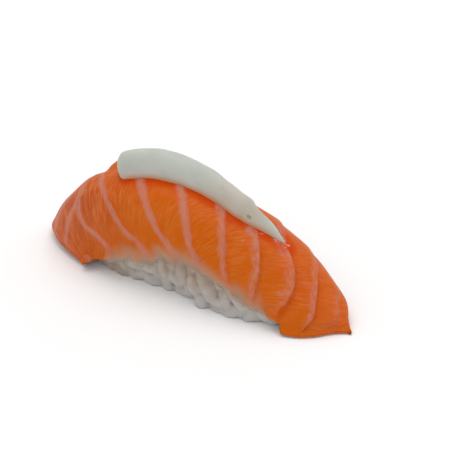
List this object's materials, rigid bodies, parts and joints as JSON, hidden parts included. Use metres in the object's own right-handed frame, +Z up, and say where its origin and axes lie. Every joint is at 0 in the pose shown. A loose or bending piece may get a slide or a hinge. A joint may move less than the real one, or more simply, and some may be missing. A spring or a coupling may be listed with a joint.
{
  "type": "salmon nigiri",
  "caption": "Hand-pressed loaf of sushi rice under a draped slice of raw salmon with white fat lines, and a bead of white sauce along its ridge.",
  "frame": {"origin": "middle of the whole piece's base, on the surface that it stands on", "axes": "+X along the slice towards its pointed end, +Y across it towards the side that faces away, +Z up"},
  "size_m": [0.0926, 0.0286, 0.0313],
  "materials": {
    "rice": "moist cooked short-grain rice, translucent off-white, softly glossy",
    "salmon": "raw salmon, wet and translucent orange, with pale pink lines of fat between its flakes",
    "white_sauce": "smooth white mayonnaise with a soft satin gloss"
  },
  "bodies": {
    "root": {"rice": "rice", "salmon": "salmon", "cream_strip": "white_sauce"}
  },
  "joints": []
}
